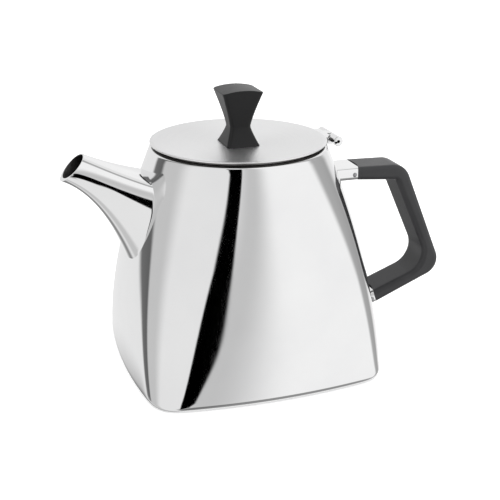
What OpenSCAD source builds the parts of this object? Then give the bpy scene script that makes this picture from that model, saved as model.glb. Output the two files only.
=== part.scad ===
// Stainless teapot with a square foot, a round top, a strap handle and a hinged lid.
// Z is up and the foot stands on Z = 0. The spout points to -X and the handle to +X.

/* [Body] */
// Width of the square foot across its flats
foot_width = 128; // [120:1:134]
// Diameter of the round top, which is also the diameter of the lid
top_diameter = 88; // [86:0.5:90]
// Height of the body without the lid
body_height = 111.8; // [110:0.1:114]
// Corner radius of the square foot
foot_corner = 10.9; // [8:0.1:16]
// Thickness of the body sheet
wall = 1; // [0.8:0.1:1.2]
// Radius where the body side turns under to the foot
foot_round = 3.3; // [2.5:0.1:4]
// Width of the turned-in ring that the body stands on
foot_ring = 9; // [7:0.5:14]
// Diameter of the filling mouth
mouth_diameter = 78.6; // [78.4:0.1:79]

/* [Spout] */
// Distance from the body axis to the pouring lip
spout_reach = 88.6; // [86:0.2:92]
// Height of the pouring lip
lip_height = 100.8; // [98:0.2:104]
// Width of the spout where it leaves the body
spout_root_width = 44; // [40:0.5:48]
// Width of the spout at its open end
spout_end_width = 17.6; // [16:0.2:22]
// Thickness of the spout sheet
spout_wall = 1; // [0.8:0.1:1.2]
// Thickness of the spout sheet at its open end
lip_wall = 0.6; // [0.5:0.1:1]
// Diameter of the strainer holes behind the spout
strainer_hole = 2.8; // [2:0.1:3]
// Distance between strainer holes
strainer_pitch = 6; // [5.4:0.1:8]

/* [Handle] */
// Width of the handle strap
handle_width = 20; // [17:0.5:22]
// Radius along the long edges of the handle strap
handle_edge = 2.8; // [1:0.1:3]
// Depth of the tongues that sit in the two brackets
tongue_length = 7.5; // [5:0.5:8]
// Diameter of the handle rivets
rivet_diameter = 2.4; // [2:0.1:3]

/* [Lid and knob] */
// Thickness of the lid sheet
lid_sheet = 0.8; // [0.7:0.1:1.2]
// Height of the lid rim above the top of the body
lid_rise = 2.4; // [2.2:0.1:3]
// How far the middle of the lid is sunk below its rim
lid_dish = 2.2; // [0.8:0.1:2.4]
// Depth of the ring that locates the lid in the mouth
skirt_depth = 4.5; // [3:0.5:6]
// Height of the knob corners above the middle of the lid
knob_height = 26.4; // [22:0.1:30]
// Width of the knob top along the spout direction
knob_top_x = 20.6; // [18:0.2:24]
// Width of the knob top across the spout direction
knob_top_y = 19.5; // [17:0.5:21]

/* [Hinge] */
// Distance from the body axis to the hinge pin
hinge_reach = 49; // [49:0.1:51]
// Outer diameter of the hinge knuckles
knuckle_diameter = 5; // [4.6:0.1:5.2]
// Length of the hinge along its pin
hinge_length = 23; // [20:0.5:25]
// Diameter of the hinge pin
pin_diameter = 2; // [1.8:0.1:2.4]
// Radial play between the pin and the knuckle that turns on it
pin_play = 0.05; // [0.02:0.01:0.1]

/* [Hidden] */
$fn = 64;
eps = 0.01;
// Gap kept between the lid parts and the body parts
clear = 0.3;
// Depth that a welded edge bites into the sheet it is welded to
weld = 0.4;

// Body form. The section is four shallow arcs joined by four corner arcs and becomes a circle at the top.
half_foot = foot_width / 2;
half_top = top_diameter / 2;
width_power = 2.28;
corner_power = 0.5;
foot_side_curve = 0.00345;
side_power = 2.04;
shoulder = 1;
body_rings = 18;
round_steps = 4;
octant_steps = 8;
// Points crowd towards the corners of the square by this power
corner_crowding = 1.8;

// Spout profile in the plane of symmetry, as [x, z]
spout_top_root = [-47.7, 101.6];
spout_top_bend = [-62.5, 105.9];
spout_top_end = [-spout_reach + 11.8, lip_height + 11.8];
spout_low_root = [-58.8, 60.3];
spout_low_bend = [-70.5, 93.3];
spout_low_end = [-spout_reach, lip_height];
spout_flare = 1.6;
spout_rings = 14;
spout_points = 40;
upper_squareness = 2.45;
lower_squareness = 2.8;
lip_extra = 1.4;
strainer_edge = 4.5;

// Handle outline in the plane of symmetry, as [x, z]
arm_start = 62.3;
arm_top = 96.2;
arm_low = 89.3;
outer_upper = [88.8, 95.5];
outer_lower = [114.2, 35.2];
inner_upper = [83.7, 87.4];
inner_lower = [106, 38];
foot_outer = [76.5, 19.3];
foot_inner = [74.2, 25.7];
outer_upper_r = 10.7;
outer_lower_r = 9.2;
inner_upper_r = 1.6;
inner_lower_r = 12.1;
bend_steps = 8;
edge_steps = 4;
tongue_width = 9;
tongue_thick = 3.6;
rivet_back = 2.9;
bracket_inside = 25;
// Depth that the flat end of the upper bracket needs beyond the weld to meet the curved wall
bracket_sink = 0.5;

// Lid heights
body_top = body_height;
rim_top = body_top + lid_rise;
rim_low = rim_top - lid_sheet;
lid_top = rim_top - lid_dish;
lid_flat = 12;
rim_round = 0.25;
rim_curve = 0.4;
dish_end = half_top - 1.6;
skirt_play = 0.6;
skirt_outer = mouth_diameter / 2 - skirt_play;
skirt_sheet = 0.8;
// Outer radius of the seat that rests on the body, on the ring under the lid
seat_outer = 41.3;

// Knob, from the bottom: base, waist, top
knob_base = [17, 19.5];
knob_waist = [10.4, 9.8];
knob_top = [knob_top_x, knob_top_y];
waist_height = 8.9;
knob_corner = 1.8;
// Rise of the arched knob top above its corners
knob_crown = 1.4;
knob_steps = 7;
knob_low_power = 1.25;
knob_high_power = 1.2;
screw_d = 4;
screw_hole = 4.4;
screw_grip = 9;
screw_head_d = 8;
screw_head_h = 2.4;
screw_recess = 2;
insert_d = 6;
insert_length = 10.5;
washer_d = 11;
washer_h = 1;

// Hinge
hinge_z = body_top - 0.3;
leaf_sheet = 1;
middle_knuckle = 5.6;
leaf_gap = 0.3;
lid_leaf_reach = 46.2;
lid_leaf_width = 15;
lid_leaf_low = rim_low - weld;

// ---------------------------------------------------------------- general shapes

// Point at u from 0 to 1 on the curve from a to c that is pulled towards b.
function bend_curve(a, b, c, u) = (1 - u) * (1 - u) * a + 2 * u * (1 - u) * b + u * u * c;

// Power that keeps the sign.
function signed_power(v, p) = sign(v) * pow(abs(v), p);

function unit(v) = v / norm(v);

// Arc of the given radius that rounds the corner b between a and c, moved towards its centre by shift.
function corner_arc(a, b, c, radius, steps, shift = 0) =
    let (
        to_a = unit(a - b),
        to_c = unit(c - b),
        half = acos(to_a * to_c) / 2,
        centre = b + unit(to_a + to_c) * radius / sin(half),
        from_point = b + to_a * radius / tan(half) - centre,
        to_point = b + to_c * radius / tan(half) - centre,
        start = atan2(from_point[1], from_point[0]),
        turn = atan2(to_point[1], to_point[0]) - start,
        sweep = turn > 180 ? turn - 360 : turn < -180 ? turn + 360 : turn
    )
    [for (i = [0 : steps]) let (angle = start + sweep * i / steps)
        centre + (radius - shift) * [cos(angle), sin(angle)]];

// Rectangle with rounded corners, anticlockwise, centred on the origin.
function rounded_rectangle(size, radius, steps) =
    [for (q = [0 : 3], i = [0 : steps])
        let (
            angle = 90 * q + 90 * i / steps,
            side_x = (q == 0 || q == 3) ? 1 : -1,
            side_y = q < 2 ? 1 : -1
        )
        [side_x * (size[0] / 2 - radius) + radius * cos(angle),
         side_y * (size[1] / 2 - radius) + radius * sin(angle)]];

// Side faces between rings of equal length. Rings run anticlockwise seen from the last ring.
function side_faces(rings, count, closed) =
    [for (j = [0 : (closed ? rings - 1 : rings - 2)], k = [0 : count - 1])
        let (j2 = (j + 1) % rings, k2 = (k + 1) % count)
        [j * count + k, j2 * count + k, j2 * count + k2, j * count + k2]];

// Solid skin through a list of rings, capped at both ends.
module loft(rings) {
    count = len(rings[0]);
    last = (len(rings) - 1) * count;
    polyhedron(
        points = [for (ring = rings) each ring],
        faces = concat(
            side_faces(len(rings), count, false),
            [[for (k = [0 : count - 1]) k]],
            [[for (k = [count - 1 : -1 : 0]) last + k]]
        ),
        convexity = 6
    );
}

// Tube skin through a list of rings, where the last ring joins the first.
module closed_loft(rings) {
    polyhedron(
        points = [for (ring = rings) each ring],
        faces = side_faces(len(rings), len(rings[0]), true),
        convexity = 8
    );
}

// ---------------------------------------------------------------- body form

// Share of the height, from 0 at the foot to 1 at the top.
function height_share(z) = min(1, max(0, z / body_top));

// Half the width across the flats at height z.
function half_width(z) = half_foot + (half_top - half_foot) * pow(height_share(z), width_power);

// Radius of the corner arcs at height z.
function corner_radius(z) =
    foot_corner + (half_top - foot_corner) * pow(height_share(z), corner_power);

// Radius of the side arcs at height z.
function side_radius(z) =
    1 / (foot_side_curve + (1 / half_top - foot_side_curve) * pow(height_share(z), side_power));

// Distance from the axis to the outline at height z, inset by d, at an angle of 0 to 45 from a flat.
function outline_radius(z, d, angle) =
    let (
        side = side_radius(z),
        corner = corner_radius(z),
        back = side - half_width(z),
        centre = (sqrt(max(0, 2 * (side - corner) * (side - corner) - back * back)) - back) / 2,
        joint = atan2(centre, centre + back + eps * eps),
        joint_x = centre + (corner - d) * cos(joint),
        joint_y = centre + (corner - d) * sin(joint),
        reach = centre * (cos(angle) + sin(angle)),
        inner = corner - d
    )
    angle < atan2(joint_y, joint_x)
        ? sqrt((side - d) * (side - d) - pow(back * sin(angle), 2)) - back * cos(angle)
        : reach + sqrt(reach * reach - 2 * centre * centre + inner * inner);

// Angles of one octant, crowded towards the corner at 45 degrees.
function octant_angle(i) = 45 * (1 - pow(1 - i / octant_steps, corner_crowding));

// Angles of the whole turn, each with its angle from the nearest flat.
turn_angles = [for (q = [0 : 3], i = [0 : 2 * octant_steps - 1])
    let (
        folded = i <= octant_steps ? octant_angle(i) : octant_angle(2 * octant_steps - i),
        angle = i <= octant_steps ? folded : 90 - folded
    )
    [90 * q + angle, folded]];

// One ring of the body, at height z and inset by d.
function body_ring(z, d) =
    [for (a = turn_angles) let (r = outline_radius(z, d, a[1])) [r * cos(a[0]), r * sin(a[0]), z]];

// Outline of the opening inside the turned-in foot ring, at height z.
function foot_opening(z) = [for (p = body_ring(0, foot_ring)) [p[0], p[1], z]];

// One circular ring with the same angles.
function round_ring(z, r) = [for (a = turn_angles) [r * cos(a[0]), r * sin(a[0]), z]];

// x of the body face on the spout side at y and z.
function spout_face_x(y, z) =
    let (side = side_radius(z)) side - half_width(z) - sqrt(side * side - y * y);

outer_rings = concat(
    [for (i = [0 : round_steps]) let (a = 90 * i / round_steps)
        body_ring(foot_round * (1 - cos(a)), foot_round * (1 - sin(a)))],
    [for (i = [1 : body_rings]) let (s = pow(i / body_rings, 1.2))
        body_ring(foot_round + (body_top - shoulder - foot_round) * s, 0)],
    [for (i = [1 : round_steps]) let (a = 90 * i / round_steps)
        body_ring(body_top - shoulder * (1 - sin(a)), shoulder * (1 - cos(a)))]
);

inner_rings = concat(
    [for (i = [body_rings : -1 : 1]) let (s = pow(i / body_rings, 1.2))
        body_ring(foot_round + (body_top - wall - foot_round) * s, wall)],
    [for (i = [round_steps : -1 : 0])
        let (a = 90 * i / round_steps, r = foot_round - wall)
        body_ring(foot_round - r * cos(a), foot_round - r * sin(a))]
);

module strainer_holes() {
    mid_z = (spout_top_root[1] + spout_low_root[1]) / 2;
    half_z = (spout_top_root[1] - spout_low_root[1]) / 2 - strainer_edge;
    half_y = spout_root_width / 2 - strainer_edge;
    rows = ceil(half_z / strainer_pitch);
    for (row = [-rows : rows], col = [-rows - 1 : rows + 1]) {
        y = (col + (row % 2 == 0 ? 0 : 0.5)) * strainer_pitch;
        z = row * strainer_pitch * sin(60);
        if (pow(y / half_y, 2) + pow(z / half_z, 2) < 1)
            translate([-half_foot - 2, y, mid_z + z])
                rotate([0, 90, 0])
                    cylinder(d = strainer_hole, h = half_foot - 36);
    }
}

module body_shell() {
    color("Silver")
        difference() {
            closed_loft(concat(
                outer_rings,
                [round_ring(body_top, mouth_diameter / 2)],
                [round_ring(body_top - wall, mouth_diameter / 2)],
                inner_rings,
                [foot_opening(wall)],
                [foot_opening(0)]
            ));
            strainer_holes();
        }
}

// Flat plate that closes the foot, flush with the turned-in ring that it is welded into.
module base_plate() {
    outline = [for (p = foot_opening(0)) [p[0], p[1]]];
    color("Gainsboro")
        linear_extrude(wall)
            polygon(outline);
}

// ---------------------------------------------------------------- spout

function spout_high(u) = bend_curve(spout_top_root, spout_top_bend, spout_top_end, u);
function spout_low(u) = bend_curve(spout_low_root, spout_low_bend, spout_low_end, u);
function spout_half(u) =
    spout_end_width / 2 + (spout_root_width - spout_end_width) / 2 * pow(1 - u, spout_flare);

// Point of the spout skin before it is bent to the body, at u from 0 at the body to 1 at the lip,
// at an angle around the section and d inside the outer face. The low edge is thicker by extra.
function spout_point(u, angle, d, extra) =
    let (
        high = spout_high(u),
        low = spout_low(u),
        down = unit(low - high),
        top = high + down * d,
        bottom = low - down * (d + extra),
        squareness = angle < 180 ? upper_squareness : lower_squareness,
        power = 2 / (2 + (squareness - 2) * (1 - u)),
        p = (top + bottom) / 2 + (top - bottom) / 2 * signed_power(sin(angle), power)
    )
    [p[0], (spout_half(u) - d) * signed_power(cos(angle), power), p[1]];

// One ring of the spout skin. The first rings are bent to the curve of the body, and the very
// first is sunk into its sheet by the given bite.
function spout_ring(u, d, extra, bite = 0) =
    [for (k = [0 : spout_points - 1])
        let (
            angle = 360 * k / spout_points,
            root = spout_point(0, angle, d, 0),
            bend = (spout_face_x(root[1], root[2]) - root[0]) * pow(1 - u, 3)
        )
        spout_point(u, angle, d, extra) + [bend + bite, 0, 0]];

module spout_shell() {
    color("LightSteelBlue")
        closed_loft(concat(
            [for (i = [spout_rings : -1 : 0])
                let (u = i / spout_rings)
                spout_ring(u, spout_wall + (lip_wall - spout_wall) * pow(u, 4), lip_extra * pow(u, 8))],
            [spout_ring(0, spout_wall, 0, weld)],
            [spout_ring(0, 0, 0, weld)],
            [for (i = [0 : spout_rings]) spout_ring(i / spout_rings, 0, 0)]
        ));
}

// ---------------------------------------------------------------- handle

// Direction across the lower end of the strap, from its outer to its inner edge
foot_across = unit(foot_inner - foot_outer);

// Outer and inner edges of the strap, each drawn in towards the other by d.
function strap_outer(d) = concat(
    [[arm_start, arm_top - d]],
    corner_arc([arm_start, arm_top], outer_upper, outer_lower, outer_upper_r, bend_steps, d),
    corner_arc(outer_upper, outer_lower, foot_outer, outer_lower_r, bend_steps, d),
    [foot_outer + foot_across * d]
);
function strap_inner(d) = concat(
    [[arm_start, arm_low + d]],
    corner_arc([arm_start, arm_low], inner_upper, inner_lower, inner_upper_r, bend_steps, -d),
    corner_arc(inner_upper, inner_lower, foot_inner, inner_lower_r, bend_steps, -d),
    [foot_inner - foot_across * d]
);

// Outline of the strap at the distance y from its middle plane, as a ring.
function strap_ring(y, d) =
    let (outer = strap_outer(d), inner = strap_inner(d), last = len(inner) - 1)
    concat(
        [for (p = outer) [p[0], y, p[1]]],
        [for (i = [last : -1 : 0]) [inner[i][0], y, inner[i][1]]]
    );

// The whole strap: outlines stacked across its width, drawn in at the long edges to round them.
module strap() {
    flat = handle_width / 2 - handle_edge;
    rings = [for (side = [-1, 1], i = [0 : edge_steps])
        let (angle = side < 0 ? 90 - 90 * i / edge_steps : 90 * i / edge_steps)
        strap_ring(side * (flat + handle_edge * sin(angle)), handle_edge * (1 - cos(angle)))];
    count = len(rings[0]);
    half = count / 2;
    end = (len(rings) - 1) * count;
    polyhedron(
        points = [for (ring = rings) each ring],
        faces = concat(
            side_faces(len(rings), count, false),
            [for (i = [0 : half - 2]) [i, i + 1, count - 2 - i, count - 1 - i]],
            [for (i = [0 : half - 2])
                [end + count - 1 - i, end + count - 2 - i, end + i + 1, end + i]]
        ),
        convexity = 6
    );
}

arm_mid = [arm_start, (arm_top + arm_low) / 2];
foot_mid = (foot_outer + foot_inner) / 2;
foot_slope = atan2(foot_across[0], foot_across[1]);
upper_rivet_at = arm_mid - [rivet_back, 0];
lower_rivet_at = foot_mid - rivet_back * [cos(foot_slope), -sin(foot_slope)];

// Places a shape drawn along -X from the upper end of the handle.
module at_arm_end() {
    translate([arm_mid[0], 0, arm_mid[1]])
        children();
}

// Places a shape drawn along -X from the lower end of the handle.
module at_foot_end() {
    translate([foot_mid[0], 0, foot_mid[1]])
        rotate([0, foot_slope, 0])
            children();
}

module tongue(extra) {
    translate([-tongue_length, -tongue_width / 2, -tongue_thick / 2])
        cube([tongue_length + extra, tongue_width, tongue_thick]);
}

module rivet_at(place, length) {
    translate([place[0], length / 2, place[1]])
        rotate([90, 0, 0])
            cylinder(d = rivet_diameter, h = length);
}

module handle_grip() {
    color("DimGray")
        difference() {
            union() {
                strap();
                at_arm_end() tongue(1);
                at_foot_end() tongue(1);
            }
            rivet_at(upper_rivet_at, handle_width + 2);
            rivet_at(lower_rivet_at, handle_width + 2);
        }
}

// Rounded bar along -X with a pocket for the handle tongue.
module bracket_bar(thick, length) {
    outline = rounded_rectangle([thick, handle_width], handle_edge, edge_steps);
    difference() {
        rotate([0, -90, 0])
            linear_extrude(length)
                polygon(outline);
        tongue(1);
    }
}

module upper_bracket() {
    face_low = half_width(arm_low) - weld - bracket_sink;
    face_high = half_width(arm_top) - weld - bracket_sink;
    lean = atan2(face_low - face_high, arm_top - arm_low);
    color("LightGray")
        difference() {
            at_arm_end() bracket_bar(arm_top - arm_low, arm_start - face_high + 3);
            translate([face_low, 0, arm_low])
                rotate([0, -lean, 0])
                    translate([-bracket_inside, -handle_width, -bracket_inside])
                        cube([bracket_inside, 2 * handle_width, 3 * bracket_inside]);
            rivet_at(upper_rivet_at, handle_width + 2);
        }
}

module lower_bracket() {
    face = half_width(foot_mid[1]) - weld;
    color("LightGray")
        difference() {
            at_foot_end() bracket_bar(norm(foot_outer - foot_inner), foot_mid[0] - face + 6);
            translate([face - bracket_inside, -handle_width, 0])
                cube([bracket_inside, 2 * handle_width, 3 * bracket_inside]);
            rivet_at(lower_rivet_at, handle_width + 2);
        }
}

module upper_rivet() {
    color("WhiteSmoke") rivet_at(upper_rivet_at, handle_width);
}

module lower_rivet() {
    color("WhiteSmoke") rivet_at(lower_rivet_at, handle_width);
}

// ---------------------------------------------------------------- lid

// Height of the upper face of the lid at radius r.
function lid_face(r) = lid_top + lid_dish * max(0, min(1, (r - lid_flat) / (dish_end - lid_flat)));

module lid_plate() {
    color("Gainsboro")
        rotate_extrude()
            polygon(concat(
                [[screw_hole / 2, lid_top - lid_sheet],
                 [lid_flat, lid_top - lid_sheet],
                 [dish_end, rim_low],
                 [half_top - rim_round, rim_low],
                 [half_top, rim_low + rim_round]],
                corner_arc([half_top, rim_low], [half_top, rim_top], [dish_end, rim_top], rim_curve, 4),
                [[dish_end, rim_top],
                 [lid_flat, lid_top],
                 [screw_hole / 2, lid_top]]
            ));
}

// Ring under the lid that locates it in the mouth, with a seat that carries the lid on the body.
module lid_skirt() {
    inner = skirt_outer - skirt_sheet;
    color("Silver")
        rotate_extrude()
            polygon([
                [inner, body_top - skirt_depth],
                [skirt_outer, body_top - skirt_depth],
                [skirt_outer, body_top + clear],
                [seat_outer, body_top + clear],
                [seat_outer, lid_face(seat_outer) - lid_sheet],
                [inner, lid_face(inner) - lid_sheet]
            ]);
}

// ---------------------------------------------------------------- hinge

// One knuckle of the hinge, between two distances along the pin.
module knuckle(from, to) {
    translate([hinge_reach, from, hinge_z])
        rotate([-90, 0, 0])
            cylinder(d = knuckle_diameter, h = to - from);
}

// Bore for the pin through every knuckle.
module pin_bore(play) {
    translate([hinge_reach, -hinge_length, hinge_z])
        rotate([-90, 0, 0])
            cylinder(d = pin_diameter + 2 * play, h = 2 * hinge_length);
}

// Leaf welded to the body, with the two outer knuckles.
module hinge_body_leaf() {
    inner_end = middle_knuckle / 2 + leaf_gap;
    outer_end = hinge_length / 2;
    color("LightSlateGray")
        difference() {
            union() {
                knuckle(inner_end, outer_end);
                knuckle(-outer_end, -inner_end);
                translate([0, -outer_end, hinge_z - leaf_sheet])
                    cube([hinge_reach, hinge_length, leaf_sheet]);
            }
            translate([hinge_reach, -inner_end, hinge_z])
                rotate([-90, 0, 0])
                    cylinder(d = knuckle_diameter + 2 * leaf_gap, h = 2 * inner_end);
            translate([0, 0, hinge_z - knuckle_diameter])
                cylinder(r = half_width(hinge_z) - weld, h = 2 * knuckle_diameter, $fn = 128);
            pin_bore(0);
        }
}

// Leaf welded to the lid edge, with the middle knuckle.
module hinge_lid_leaf() {
    color("SlateGray")
        difference() {
            union() {
                knuckle(-middle_knuckle / 2, middle_knuckle / 2);
                translate([0, -middle_knuckle / 2, lid_leaf_low])
                    cube([hinge_reach, middle_knuckle, leaf_sheet]);
                translate([0, -lid_leaf_width / 2, lid_leaf_low])
                    cube([lid_leaf_reach, lid_leaf_width, leaf_sheet]);
            }
            translate([0, 0, lid_leaf_low - 1])
                cylinder(r = half_top - weld, h = leaf_sheet + 2, $fn = 128);
            pin_bore(pin_play);
        }
}

module hinge_pin() {
    color("White")
        translate([hinge_reach, -hinge_length / 2, hinge_z])
            rotate([-90, 0, 0])
                cylinder(d = pin_diameter, h = hinge_length);
}

// ---------------------------------------------------------------- knob

// Plan size of the knob at height h above its base.
function knob_size(h) =
    h < waist_height
        ? knob_waist + (knob_base - knob_waist) * pow(1 - h / waist_height, knob_low_power)
        : knob_waist + (knob_top - knob_waist)
            * pow((h - waist_height) / (knob_height - waist_height), knob_high_power);

function knob_ring(h) =
    [for (p = rounded_rectangle(knob_size(h), knob_corner, edge_steps)) [p[0], p[1], lid_top + h]];

module knob() {
    // Radius of the arch that rises by the crown over half the width of the top
    arch = (pow(knob_top_x / 2, 2) + knob_crown * knob_crown) / (2 * knob_crown);
    full = knob_height + 2 * knob_crown;
    color("DimGray")
        difference() {
            intersection() {
                loft(concat(
                    [for (i = [0 : knob_steps - 1]) knob_ring(waist_height * i / knob_steps)],
                    [for (i = [0 : knob_steps])
                        knob_ring(waist_height + (full - waist_height) * i / knob_steps)]
                ));
                translate([0, knob_top_y, lid_top + knob_height + knob_crown - arch])
                    rotate([90, 0, 0])
                        cylinder(r = arch, h = 2 * knob_top_y, $fn = 180);
            }
            translate([0, 0, lid_top - eps])
                cylinder(d = insert_d, h = insert_length + eps);
        }
}

// Threaded insert moulded into the knob.
module knob_insert() {
    color("Goldenrod")
        difference() {
            translate([0, 0, lid_top])
                cylinder(d = insert_d, h = insert_length);
            translate([0, 0, lid_top - 1])
                cylinder(d = screw_d, h = screw_grip + 1);
        }
}

module knob_washer() {
    washer_top = lid_top - lid_sheet;
    color("Khaki")
        difference() {
            translate([0, 0, washer_top - washer_h])
                cylinder(d = washer_d, h = washer_h);
            translate([0, 0, washer_top - washer_h - 1])
                cylinder(d = screw_hole, h = washer_h + 2);
        }
}

// Round-headed screw that holds the knob from inside the lid.
module knob_screw() {
    head_top = lid_top - lid_sheet - washer_h;
    color("Gold")
        difference() {
            union() {
                translate([0, 0, head_top])
                    cylinder(d = screw_d, h = lid_top + screw_grip - head_top);
                translate([0, 0, head_top - screw_head_h])
                    cylinder(d1 = screw_head_d - 2, d2 = screw_head_d, h = screw_head_h);
            }
            for (turn = [0, 90])
                rotate([0, 0, turn])
                    translate([-screw_recess, -0.5, head_top - screw_head_h - 1])
                        cube([2 * screw_recess, 1, 2.2]);
        }
}

body_shell();
base_plate();
spout_shell();
upper_bracket();
lower_bracket();
handle_grip();
upper_rivet();
lower_rivet();
hinge_body_leaf();
hinge_pin();
hinge_lid_leaf();
lid_plate();
lid_skirt();
knob();
knob_insert();
knob_washer();
knob_screw();
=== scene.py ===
import math

import bmesh
import bpy
import numpy as np
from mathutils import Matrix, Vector


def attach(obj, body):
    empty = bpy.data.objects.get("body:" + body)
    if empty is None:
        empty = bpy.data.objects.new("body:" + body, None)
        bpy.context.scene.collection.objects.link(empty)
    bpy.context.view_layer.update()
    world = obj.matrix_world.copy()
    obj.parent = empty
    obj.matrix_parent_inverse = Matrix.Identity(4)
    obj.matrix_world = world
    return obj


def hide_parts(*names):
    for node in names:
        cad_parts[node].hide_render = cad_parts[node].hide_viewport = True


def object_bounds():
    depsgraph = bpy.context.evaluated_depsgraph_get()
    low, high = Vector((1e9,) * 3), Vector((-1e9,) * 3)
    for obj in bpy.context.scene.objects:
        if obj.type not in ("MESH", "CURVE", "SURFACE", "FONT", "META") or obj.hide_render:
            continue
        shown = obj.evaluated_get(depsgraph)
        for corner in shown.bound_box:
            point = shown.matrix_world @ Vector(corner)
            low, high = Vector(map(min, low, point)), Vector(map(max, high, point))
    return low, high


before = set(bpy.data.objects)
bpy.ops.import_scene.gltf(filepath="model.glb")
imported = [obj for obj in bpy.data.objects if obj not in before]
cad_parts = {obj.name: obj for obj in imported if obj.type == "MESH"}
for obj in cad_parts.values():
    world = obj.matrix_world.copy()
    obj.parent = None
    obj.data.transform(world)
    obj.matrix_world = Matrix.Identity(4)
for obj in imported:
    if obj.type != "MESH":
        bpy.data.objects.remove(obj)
cad_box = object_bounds()
scene = bpy.context.scene

MM = 0.001

# ------------------------------------------------------------------ sizes, in millimetres
# Body
HALF_FOOT, HALF_TOP, BODY_TOP = 64.0, 44.0, 111.8
FOOT_CORNER, WALL, FOOT_ROUND, FOOT_RING = 10.9, 1.0, 3.3, 9.0
MOUTH_R, SHOULDER, EDGE_R = 39.3, 1.0, 0.3
WIDTH_POWER, CORNER_POWER, FOOT_CURVE, SIDE_POWER = 2.28, 0.5, 0.00345, 2.04
RING_POINTS = 256
# Spout
SPOUT_TOP = [(-47.7, 101.6), (-62.5, 105.9), (-76.8, 112.6)]
SPOUT_LOW = [(-58.8, 60.3), (-70.5, 93.3), (-88.6, 100.8)]
SPOUT_ROOT_W, SPOUT_END_W, SPOUT_FLARE = 44.0, 17.6, 1.6
SPOUT_WALL, LIP_WALL = 1.0, 0.6
SPOUT_UPPER_SQ, SPOUT_LOWER_SQ, LIP_EXTRA, WELD = 2.45, 2.8, 1.4, 0.4
STRAINER_HOLE, STRAINER_PITCH, STRAINER_EDGE = 2.8, 6.0, 4.5
# Handle
STRAP_W, STRAP_EDGE = 20.0, 2.8
ARM_START, ARM_TOP, ARM_LOW = 62.3, 96.2, 89.3
OUTER_UPPER, OUTER_LOWER = (88.8, 95.5), (114.2, 35.2)
INNER_UPPER, INNER_LOWER = (83.7, 87.4), (106.0, 38.0)
FOOT_OUTER, FOOT_INNER = (76.5, 19.3), (74.2, 25.7)
BEND_R = {"outer_upper": 10.7, "outer_lower": 9.2, "inner_upper": 1.6, "inner_lower": 12.1}
JOINT_BULGE = 1.0
RIVET_D, RIVET_BACK = 2.4, 2.9
# Lid and knob
RIM_TOP, RIM_LOW, LID_TOP, LID_FLAT = 114.2, 113.4, 112.0, 12.0
DISH_END, LID_SHEET = 42.4, 0.8
KNOB_H, KNOB_CROWN, KNOB_CORNER, WAIST_H = 26.4, 1.4, 1.8, 8.9
KNOB_BASE, KNOB_WAIST, KNOB_TOP = (17.0, 19.5), (10.4, 9.8), (20.6, 19.5)
INSERT_R = 3.0
# Hinge
HINGE_X, HINGE_Z, KNUCKLE_D, HINGE_L, PIN_D = 49.0, 111.5, 5.0, 23.0, 2.0
MIDDLE_L, LEAF_GAP, LEAF_T = 5.6, 0.3, 1.0
LID_LEAF_REACH, LID_LEAF_W = 46.2, 15.0


# ------------------------------------------------------------------ camera
AZIMUTH, ELEVATION, DISTANCE = -18.03, 21.01, 0.49856
LENS = 69.04


def add_camera():
    low, high = cad_box
    target = Vector((low.x + 0.09471, 0, low.z + 0.05424))
    a, e = math.radians(AZIMUTH), math.radians(ELEVATION)
    back = Vector((math.sin(a) * math.cos(e), -math.cos(a) * math.cos(e), math.sin(e)))
    data = bpy.data.cameras.new("camera")
    data.lens, data.sensor_width = LENS, 36.0
    data.clip_start, data.clip_end = 0.01, 20.0
    cam = bpy.data.objects.new("camera", data)
    scene.collection.objects.link(cam)
    cam.location = target + back * DISTANCE
    cam.rotation_mode = "QUATERNION"
    cam.rotation_quaternion = (-back).to_track_quat("-Z", "Y")
    scene.camera = cam


add_camera()


# ------------------------------------------------------------------ mesh helpers
def make_piece(name, verts, faces, material, body, slot, nodes=(), sharp=None):
    """A new piece from points in millimetres, which stands for the given CAD nodes."""
    mesh = bpy.data.meshes.new(name)
    mesh.from_pydata([tuple(float(c) * MM for c in v) for v in verts], [], faces)
    mesh.validate()
    bm = bmesh.new()
    bm.from_mesh(mesh)
    bmesh.ops.remove_doubles(bm, verts=bm.verts, dist=1e-7)
    bmesh.ops.recalc_face_normals(bm, faces=bm.faces)
    bm.to_mesh(mesh)
    bm.free()
    piece = bpy.data.objects.new(name, mesh)
    scene.collection.objects.link(piece)
    mesh.materials.append(material)
    if sharp is None:
        mesh.shade_smooth()
    else:
        mesh.shade_smooth()
        mesh.set_sharp_from_angle(angle=math.radians(sharp))
    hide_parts(*nodes)
    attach(piece, body)
    return piece


def loft(rings, closed=False, cap_start=False, cap_end=False):
    """Points and quads of a skin through rings of equal length. A cap is a fan round the ring's middle."""
    n = len(rings[0])
    verts = [tuple(p) for ring in rings for p in ring]
    faces = []
    rows = len(rings) if closed else len(rings) - 1
    for j in range(rows):
        j2 = (j + 1) % len(rings)
        for k in range(n):
            k2 = (k + 1) % n
            faces.append((j * n + k, j * n + k2, j2 * n + k2, j2 * n + k))
    for wanted, start, order in ((cap_start, 0, -1), (cap_end, (len(rings) - 1) * n, 1)):
        if wanted:
            verts.append(tuple(np.mean(rings[start // n], axis=0)))
            middle = len(verts) - 1
            for k in range(n):
                a, b = start + k, start + (k + 1) % n
                faces.append((a, b, middle) if order > 0 else (b, a, middle))
    return verts, faces


def lathe(profile, segments, centre=(0, 0), closed=True):
    """Points and quads of a profile of [radius, z] turned about a vertical axis."""
    rings = []
    for r, z in profile:
        t = np.linspace(0, 2 * math.pi, segments, endpoint=False)
        ring = [centre[0] + r * np.cos(t), centre[1] + r * np.sin(t), np.full(segments, z)]
        rings.append(np.stack(ring, 1))
    return loft(rings, closed=closed)


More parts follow.
